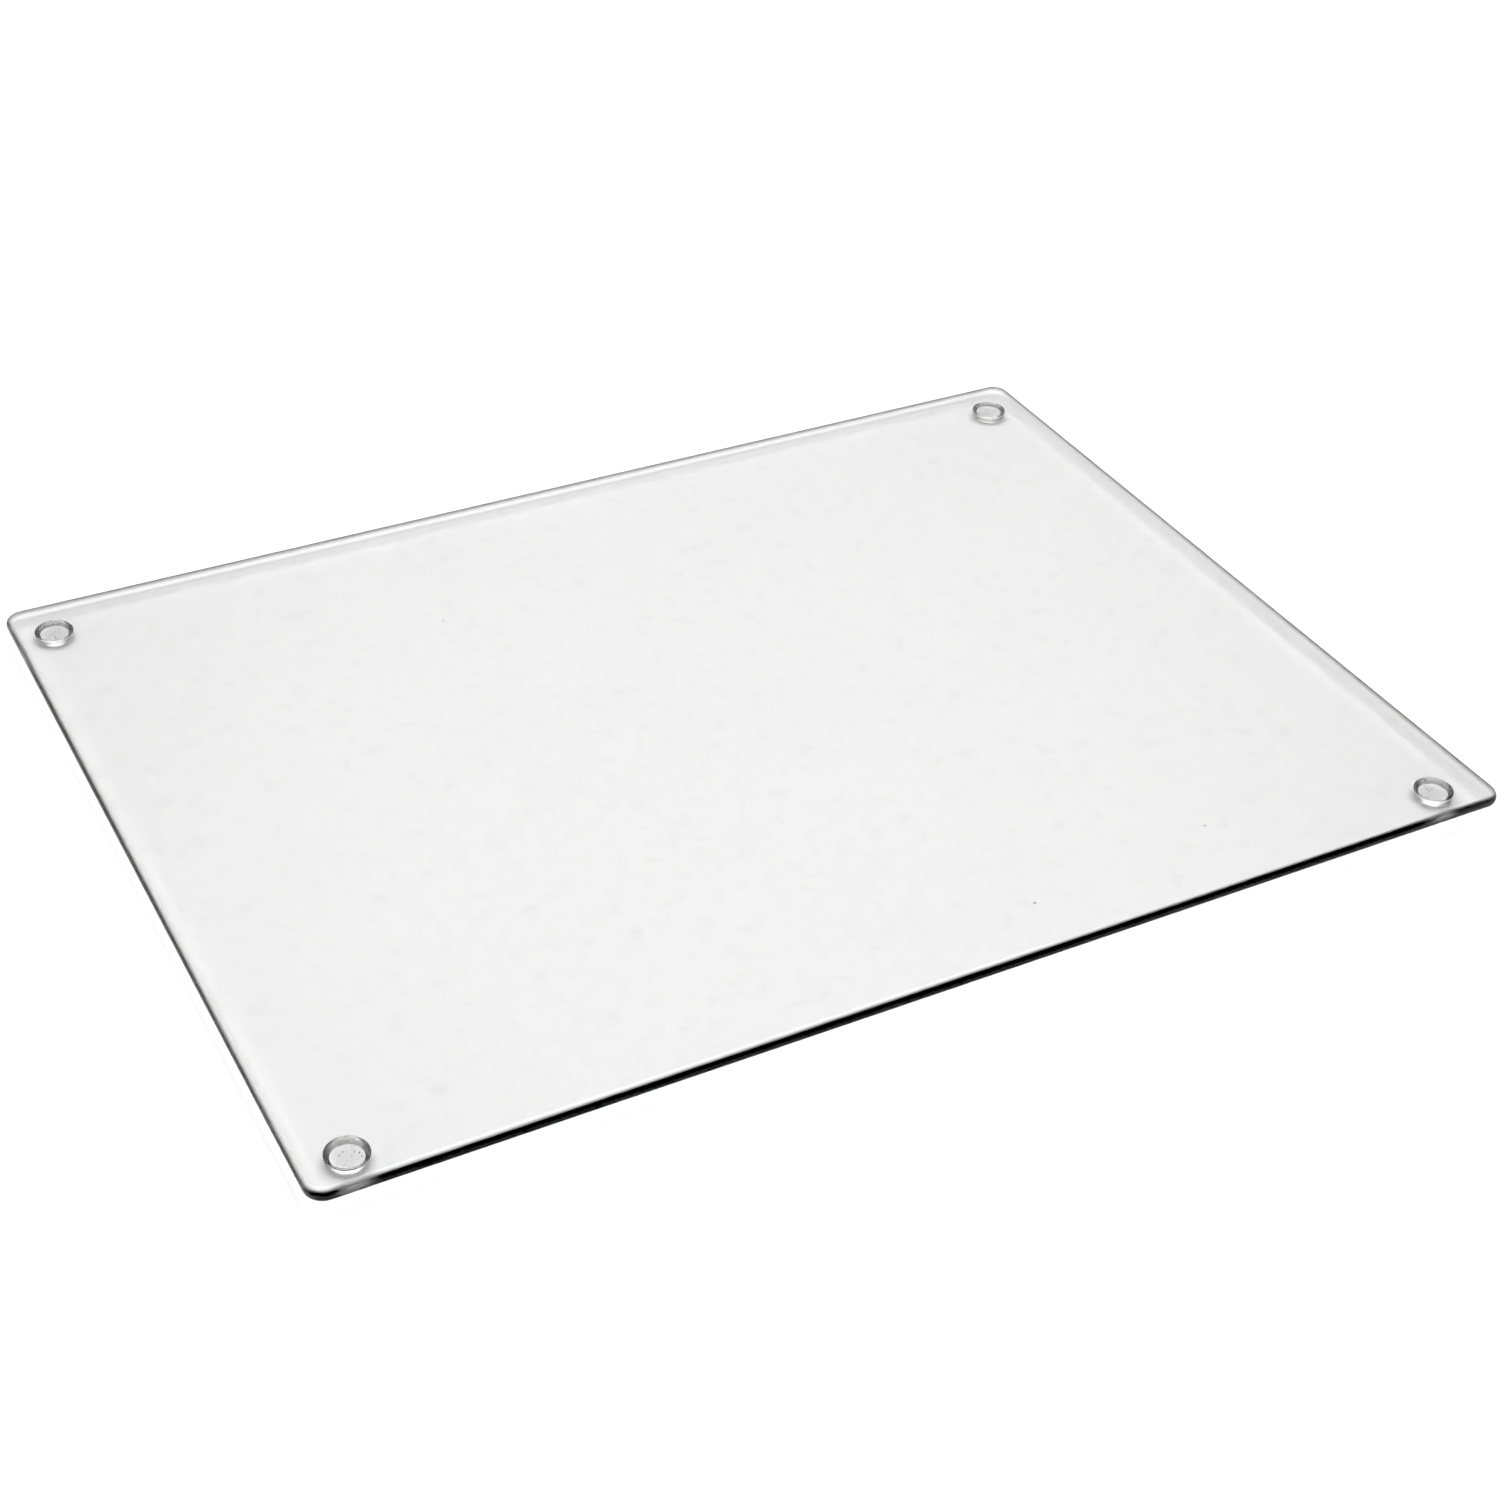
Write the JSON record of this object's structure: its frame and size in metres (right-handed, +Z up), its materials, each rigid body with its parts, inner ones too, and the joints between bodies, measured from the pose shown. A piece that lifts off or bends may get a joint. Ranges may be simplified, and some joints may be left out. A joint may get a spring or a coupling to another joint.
{
  "type": "glass worktop saver",
  "caption": "Flat rectangular clear glass board with a polished round edge, on clear bumper feet, laid on a desk, table or worktop to protect it and give a hard wipe-clean surface.",
  "frame": {"origin": "on the surface that the board stands on, under the middle of the panel", "axes": "+X along the long side, +Y along the short side, +Z up out of the work face"},
  "size_m": [0.4, 0.3, 0.0077],
  "materials": {
    "clear_glass": "clear toughened float glass, polished",
    "clear_polyurethane": "clear soft polyurethane, smooth with a faint satin",
    "clear_adhesive": "clear pressure-sensitive adhesive, wetted out"
  },
  "bodies": {
    "root": {"glass_panel": "clear_glass", "foot_front_left": "clear_polyurethane", "foot_front_right": "clear_polyurethane", "foot_back_left": "clear_polyurethane", "foot_back_right": "clear_polyurethane", "adhesive_front_left": "clear_adhesive", "adhesive_front_right": "clear_adhesive", "adhesive_back_left": "clear_adhesive", "adhesive_back_right": "clear_adhesive"}
  },
  "joints": []
}
